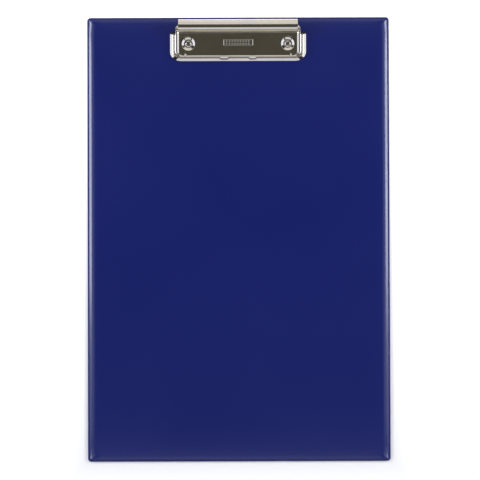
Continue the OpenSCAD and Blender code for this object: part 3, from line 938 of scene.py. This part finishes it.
class CLIPBOARD_OT_base_plate(bpy.types.Operator):
    """Press the base plate with its rivet bosses and the ears that hold the pin"""
    bl_idname = "clipboard.base_plate"
    bl_label = "Base plate"

    def execute(self, context):
        sizes = context.scene.clip_sizes
        z = BOARD_TOP + sizes.sheet / MM / 2
        front, back = [corner.y / MM - CLIP_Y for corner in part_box("base_plate")]
        r, half = 2.0, 45.2   # corner radius and half width of the plate
        skin, outline = Skin(), []
        for turn, (cx, cy) in enumerate([(half - r, back - r), (r - half, back - r),
                                         (r - half, front + r), (half - r, front + r)]):
            outline += arc(cx, cy, r, [90 * turn + 15 * k for k in range(7)])
        rings = [at_rivets(r, RIVET_Y - CLIP_Y) for r, _ in BOSS_LINE]
        skin.fill(outline, rings[-1], (), lambda *_: z)
        for boss in zip(*rings):
            skin.grid([[(*p, h - BOSS_FOOT + z) for p in ring]
                       for ring, (_, h) in zip(boss, BOSS_LINE)], closed=True)
        made = piece("base_plate_pressed", skin, "nickel_plate", along=CLIP_Y)
        pressed(made, sizes.sheet)

        ears = Skin()
        py, pz = HINGE
        bend, reach = 0.8, 46.0   # radius of the ears' bend, and where they stand in X
        across = [py + EAR_R * t / 6 for t in range(-6, 7)]
        for sign in (-1, 1):
            foot = [(reach - 2 * bend, z)]
            foot += [(reach - bend + bend * math.sin(a), z + bend * (1 - math.cos(a)))
                     for a in (math.radians(15 * k) for k in range(7))]
            ears.grid([[(sign * x, y, h) for y in across] for x, h in foot])
            outline = [(y, z + bend) for y in across] + arc(py, pz, EAR_R, range(0, 181, 10))
            flat = Skin()
            flat.fill(outline, [circle(py, pz, PIN_HOLE, 24)], (), lambda *_: 0.0)
            ears.place(flat, lambda y, h: (sign * reach, y, h))
        join(made, pressed(piece("base_plate_ears", ears, "nickel_plate", along=CLIP_Y),
                           sizes.sheet))
        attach(made, "board")
        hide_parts("base_plate")
        return {"FINISHED"}


# ======== hinge pin ========

class CLIPBOARD_OT_pin(bpy.types.Operator):
    """Turn the hinge pin with its peened ends"""
    bl_idname = "clipboard.pin"
    bl_label = "Hinge pin"

    def execute(self, context):
        head = PIN_END - 0.9   # where the peened end begins
        right = [(0.0, 1.25)]
        right += [(head + x, r) for x, r in
                  ((-0.02, 1.25), (0, 1.3), (0.01, 1.72), (0.06, 1.78), (0.2, 1.8), (0.33, 1.72),
                   (0.43, 1.45), (0.48, 0.95), (0.5, 0.4))]
        line = [(-x, r) for x, r in reversed(right[1:])] + right
        skin = Skin()
        rows = [[(x, *p) for p in circle(PIN_Y, PIN_Z, r, 40)] for x, r in line]
        skin.grid(rows, closed=True, capped=True)
        made = piece("hinge_pin_turned", skin, "steel_wire", 50)
        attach(made, "board")
        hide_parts("hinge_pin")
        return {"FINISHED"}


# ======== springs ========

COIL_R, COIL_START = 1.95, 8.0   # radius of the coil's middle line, and where it starts in X
COIL_PITCH = 1.12                # in wire diameters
LEG_LOW, LEG_UP = 4.8, 5.6       # lengths of the legs along the base plate and up the lever
LEG_REACH = 0.3                  # how far a leg leans away from its tangent
LEVER_SLOPE = 66                 # slope of the lever's back, in degrees


def spring_points(wire, turns):
    """The wire's path: a leg along the base plate, the coil, and a leg up the lever's back."""
    py, pz = HINGE
    leg_angle = math.radians(LEVER_SLOPE) + math.asin(LEG_REACH / LEG_UP)
    sweep = 360 * turns + 180 - math.degrees(leg_angle)
    count = math.ceil(sweep / 12)
    coil = [(COIL_START + wire / 2 + wire * COIL_PITCH * sweep / 360 * k / count,
             *spot(py, pz, COIL_R, -90 - sweep * k / count)) for k in range(count + 1)]
    quarters = (0.25, 0.5, 0.75, 1.0)
    x, y, z = coil[0]
    leg = [(x, y + LEG_LOW * t, z - LEG_REACH * t) for t in reversed(quarters)]
    x, y, z = coil[-1]
    rise = [(x, y + LEG_UP * t * math.cos(leg_angle), z + LEG_UP * t * math.sin(leg_angle))
            for t in quarters]
    return leg + coil + rise


def wire_tree():
    """Sweeps a round wire along the edges of a mesh."""
    tree = Tree("wire_along_path", [
        ("Wire diameter", "NodeSocketFloat", 0.001), ("Sides", "NodeSocketInt", 14)])
    path = tree.put("GeometryNodeMeshToCurve", {"Mesh": tree.given["Geometry"]})
    ring = tree.put("GeometryNodeCurvePrimitiveCircle", {
        "Resolution": tree.given["Sides"], "Radius": tree.times(tree.given["Wire diameter"], 0.5)})
    return tree.close(tree.put("GeometryNodeCurveToMesh", {
        "Curve": path, "Profile Curve": ring, "Fill Caps": True}), "steel_wire")


class CLIPBOARD_OT_springs(bpy.types.Operator):
    """Wind the two torsion springs around the hinge pin"""
    bl_idname = "clipboard.springs"
    bl_label = "Springs"

    def execute(self, context):
        sizes = context.scene.clip_sizes
        tree = wire_tree()
        points = spring_points(sizes.wire / MM, sizes.coil_turns)
        for name, sign in (("left", -1), ("right", 1)):
            line = bpy.data.meshes.new(name + "_spring_line")
            line.from_pydata([(sign * x * MM, (y + CLIP_Y) * MM, z * MM) for x, y, z in points],
                             [(i, i + 1) for i in range(len(points) - 1)], [])
            made = run_tree(name + "_spring_wire", line, tree,
                            {"Wire diameter": sizes.wire}, "steel_wire", 50)
            reshape(made.data, turn_out)
            first, last = points[0][0], points[-1][0]
            sign * first * MM
            sign * last * MM
            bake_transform(made)
            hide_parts(name + "_spring")
        return {"FINISHED"}


# ======== rivets and washers ========

AXIS_R = 1.0   # radius of the circle that a section is swept along


def turned_pair_tree(look):
    """Turns a section, given as edges beside the Z axis, and sets it at both rivets."""
    tree = Tree("turned_pair", [
        ("Spacing", "NodeSocketFloat", 0.0756), ("Along", "NodeSocketFloat", 0.14864),
        ("Segments", "NodeSocketInt", 64)])
    spacing = tree.given["Spacing"]
    section = tree.put("GeometryNodeMeshToCurve", {"Mesh": tree.given["Geometry"]})
    axis = tree.put("GeometryNodeCurvePrimitiveCircle", {
        "Resolution": tree.given["Segments"], "Radius": AXIS_R * MM})
    turned = tree.put("GeometryNodeCurveToMesh", {"Curve": axis, "Profile Curve": section})
    start = tree.vector(tree.times(spacing, -0.5), tree.given["Along"])
    return tree.close(tree.copies(2, start, tree.vector(spacing), turned), look)


def turned_pair(name, section, look):
    """A piece turned from (radius, height) points, standing at both rivets."""
    line = bpy.data.meshes.new(name + "_section")
    line.from_pydata([((r - AXIS_R) * MM, z * MM, 0.0) for r, z in section],
                     [(i, (i + 1) % len(section)) for i in range(len(section))], [])
    made = run_tree(name, line, turned_pair_tree(look),
                    {"Spacing": 2 * RIVET_X * MM, "Along": RIVET_Y * MM}, look)
    low = min(v.co.z for v in made.data.vertices) / MM
    if abs(low - min(z for _, z in section)) > 0.01:   # swept upside down
        for v in made.data.vertices:
            v.co.z = -v.co.z
    reshape(made.data, weld(1e-6), turn_out)
    made.data.set_sharp_from_angle(angle=math.radians(45))
    return made


class CLIPBOARD_OT_rivets(bpy.types.Operator):
    """Turn the hollow rivets and the washers under their rolled back heads"""
    bl_idname = "clipboard.rivets"
    bl_label = "Rivets and washers"

    def execute(self, context):
        head = [(r, RIVET_TOP - drop) for r, drop in
                ((1.9, 0.5), (2.6, 0.5), (2.8, 0.48), (2.86, 0.42), (2.82, 0.36), (2.65, 0.28),
                 (2.3, 0.14), (2.0, 0.04), (1.78, 0), (1.6, 0.03), (1.46, 0.16), (1.36, 0.5),
                 (1.3, 1.1))]
        tail = [(1.3, 1.0), (1.36, 0.6), (1.55, 0.24), (1.85, 0.06), (2.2, 0.0), (2.55, 0.01),
                (2.8, 0.1), (2.88, 0.28), (2.78, 0.44), (2.55, 0.5), (1.9, 0.5)]
        made = turned_pair("rivets_turned", head + tail, "nickel_plate")
        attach(made, "board")
        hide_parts("left_rivet", "right_rivet")

        ring = [(r, WASHER_FACE + z) for r, z in
                ((RIVET_BORE, 0.03), (1.98, 0), (4.35, 0), (4.46, 0.05), (4.5, 0.15), (4.5, 0.4),
                 (RIVET_BORE, 0.4))]
        made = turned_pair("washers_turned", ring, "nickel_plate")
        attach(made, "board")
        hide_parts("left_washer", "right_washer")
        return {"FINISHED"}


# ======== stage ========

WHITE = (1, 1, 1, 1)
WARM, COOL = (1.0, 1.0, 0.97), (0.9, 0.94, 1.1)
# Soft boxes: name, the way it stands from the board, near edge and far edge as (distance out,
# height), half its width, where its middle lies along Y, radiance and colour
SIDE_BOX = ((0.45, 1.30), (0.88, 0.86), 0.42, 0.12, 1.3, COOL)
STRIP_BOX = ((0.885, 0.782), (1.060, 0.562), 0.285, 0.215, 13.5, COOL)
LOW_BOX = ((0.918, 0.750), (1.076, 0.533), 0.2, -0.29, 2.0, COOL)
SOFT_BOXES = [
    ("soft_box_north", (0, 1), (0.46, 1.35), (1.40, 0.34), 0.48, 0.0, 0.88, WARM),
    ("soft_box_south", (0, -1), (0.38, 1.35), (1.00, 0.60), 0.48, 0.0, 0.93, COOL),
    ("soft_box_east", (1, 0), *SIDE_BOX), ("soft_box_west", (-1, 0), *SIDE_BOX),
    ("strip_box_east", (1, 0), *STRIP_BOX), ("low_box_east", (1, 0), *LOW_BOX),
    ("low_box_west", (-1, 0), *LOW_BOX), ("strip_box_west", (-1, 0), *STRIP_BOX),
]
FLOOR_HALF = 4.0             # half the floor's width, in metres
PAINTED_RIM_FADE = (-0.001, 0.014)  # where the floor's glow starts and is full, out from the board; the darker rim left inside that is painted shade round the board
PAINTED_RIM_SHIFT = 0.019           # how much nearer to the board that painted rim ends at the clip's end
PAINTED_SHADE_FOOT_GLOW, PAINTED_SHADE_END_GAIN = 0.1, 0.34   # its strength at the foot, and what the clip's end has more; the dimmer floor towards the foot is painted shade
LENS, SENSOR = 132.8, 36.0
CAMERA_AT = (0.00096, -0.01955, 1.35)
CAMERA_TURN = (0.8, 0.0, -0.185)


def lay_floor(scene):
    """White paper that takes the board's real shadow and glows a little further out. The glow fades
    out close to the board, which paints a shaded rim round it, and it is weaker towards the board's
    foot, which paints shade there.
    """
    mesh = bpy.data.meshes.new("floor")
    mesh.from_pydata([(x * FLOOR_HALF, y * FLOOR_HALF, 0)
                      for x, y in ((-1, -1), (1, -1), (1, 1), (-1, 1))], [], [(0, 1, 2, 3)])
    floor = bpy.data.objects.new("floor", mesh)
    scene.collection.objects.link(floor)
    paper = bpy.data.materials.new("floor_paper")
    bench = Bench(paper)
    tone = bench.range(bench.noise(bench.place(), 3.0), 0.3, 0.7)
    lit = bench.node("ShaderNodeBsdfDiffuse", {
        "Color": bench.mix(tone, (0.92, 0.9, 0.85, 1), (0.94, 0.92, 0.87, 1))})
    seen, glossy, through = [bench.node("ShaderNodeLightPath", output=ray) for ray in
                             ("Is Camera Ray", "Is Glossy Ray", "Is Transmission Ray")]
    at = bench.node("ShaderNodeTexCoord", output="Object")
    x, y = [bench.node("ShaderNodeSeparateXYZ", {0: at}, output=axis) for axis in "XY"]
    beyond = [bench.sum("ABSOLUTE", place) - half * MM
              for place, half in ((x, BOARD_HALF_W), (y, BOARD_HALF_L))]
    up_board = bench.range(y, -BOARD_HALF_L * MM, BOARD_HALF_L * MM)
    # painted shade: the glow fades to nothing close to the board, leaving a darker rim like a
    # contact shadow
    glow_past_painted_rim = bench.range(bench.sum("MAXIMUM", *beyond) + up_board * PAINTED_RIM_SHIFT, *PAINTED_RIM_FADE)
    # painted shade: the glow is weaker towards the board's foot than at the clip's end
    strength = (seen + glossy + through) * glow_past_painted_rim * (up_board * PAINTED_SHADE_END_GAIN + PAINTED_SHADE_FOOT_GLOW)
    glow = bench.node("ShaderNodeEmission", {"Color": WHITE, "Strength": strength})
    bench.node("ShaderNodeOutputMaterial", {
        "Surface": bench.node("ShaderNodeAddShader", {0: lit, 1: glow})})
    mesh.materials.append(paper)


def light_room(scene):
    """White behind the board for the camera, and a dim room with a pale horizon for the rest."""
    scene.world = bpy.data.worlds.new("studio")
    bench = Bench(scene.world)
    seen = bench.node("ShaderNodeLightPath", output="Is Camera Ray")
    way = bench.node("ShaderNodeTexCoord", output="Generated")
    height = bench.node("ShaderNodeSeparateXYZ", {0: way}, output="Z")
    low = bench.range(height, 0.25, 0.6, 1.0, 0.0)
    overhead = bench.mix(bench.range(height, 0.975, 0.989),
                         (0.035, 0.033, 0.026, 1), (0.09, 0.085, 0.067, 1))
    room = bench.node("ShaderNodeBackground", {
        "Color": bench.mix(low, overhead, (0.5, 0.485, 0.42, 1))})
    white = bench.node("ShaderNodeBackground", {"Color": WHITE})
    bench.node("ShaderNodeOutputWorld", {
        "Surface": bench.node("ShaderNodeMixShader", {0: seen, 1: room, 2: white})})


def hang_box(scene, name, way, near, far, half, along, radiance, colour):
    """An area lamp between its near and far edge, facing the board."""
    ox, oy = way
    out = Vector((ox, oy, 0))
    rise = (out * (near[0] - far[0]) + Vector((0, 0, near[1] - far[1]))).normalized()
    sideways = Vector((-oy, ox, 0))
    lamp = bpy.data.lights.new(name, "AREA")
    lamp.shape, lamp.size, lamp.size_y = "RECTANGLE", 2 * half, math.dist(near, far)
    lamp.energy = radiance * math.pi * lamp.size * lamp.size_y
    lamp.color = colour
    box = bpy.data.objects.new(name, lamp)
    box.matrix_world = Matrix((sideways, rise, sideways.cross(rise))).transposed().to_4x4()
    box.location = out * (near[0] + far[0]) / 2 + Vector((0, along, (near[1] + far[1]) / 2))
    box.visible_camera = False
    scene.collection.objects.link(box)


class CLIPBOARD_OT_stage(bpy.types.Operator):
    """Lay the floor, hang the soft boxes and set up the camera"""
    bl_idname = "clipboard.stage"
    bl_label = "Stage"

    def execute(self, context):
        scene = context.scene
        lay_floor(scene)
        light_room(scene)
        for box in SOFT_BOXES:
            hang_box(scene, *box)
        camera = bpy.data.cameras.new("camera")
        camera.lens, camera.sensor_width = LENS, SENSOR
        eye = bpy.data.objects.new("camera", camera)
        eye.location = CAMERA_AT
        eye.rotation_euler = [math.radians(turn) for turn in CAMERA_TURN]
        scene.collection.objects.link(eye)
        scene.camera = eye
        scene.view_settings.view_transform = "Standard"
        return {"FINISHED"}


# ======== panel and registration ========

class CLIPBOARD_PT_sidebar(bpy.types.Panel):
    """Sizes and finishes of the clipboard, and the steps that make it"""
    bl_idname = "CLIPBOARD_PT_sidebar"
    bl_label = "Clipboard"
    bl_space_type = "VIEW_3D"
    bl_region_type = "UI"
    bl_category = "Clipboard"

    def draw(self, context):
        for key in GROUPS:
            group = getattr(context.scene, key)
            box = self.layout.box()
            for name in group.bl_rna.properties.keys():
                if name not in ("rna_type", "name"):
                    box.prop(group, name)
        column = self.layout.column(align=True)
        for step in STEPS:
            column.operator(step.bl_idname)


STEPS = (CLIPBOARD_OT_board, CLIPBOARD_OT_base_plate, CLIPBOARD_OT_jaw, CLIPBOARD_OT_mark,
         CLIPBOARD_OT_pin, CLIPBOARD_OT_springs, CLIPBOARD_OT_rivets, CLIPBOARD_OT_stage)
GROUPS = {"clip_board": BoardSizes, "clip_sizes": ClipSizes, "clip_finishes": Finishes}
CLASSES = (*GROUPS.values(), *STEPS, CLIPBOARD_PT_sidebar)


def register():
    for made in CLASSES:
        bpy.utils.register_class(made)
    for key, group in GROUPS.items():
        setattr(bpy.types.Scene, key, PointerProperty(type=group))


def unregister():
    for key in GROUPS:
        delattr(bpy.types.Scene, key)
    for made in reversed(CLASSES):
        bpy.utils.unregister_class(made)


def main():
    register()
    bpy.ops.clipboard.board()
    bpy.ops.clipboard.base_plate()
    bpy.ops.clipboard.jaw()
    bpy.ops.clipboard.mark()
    bpy.ops.clipboard.pin()
    bpy.ops.clipboard.springs()
    bpy.ops.clipboard.rivets()
    bpy.ops.clipboard.stage()


if __name__ == "__main__":
    main()
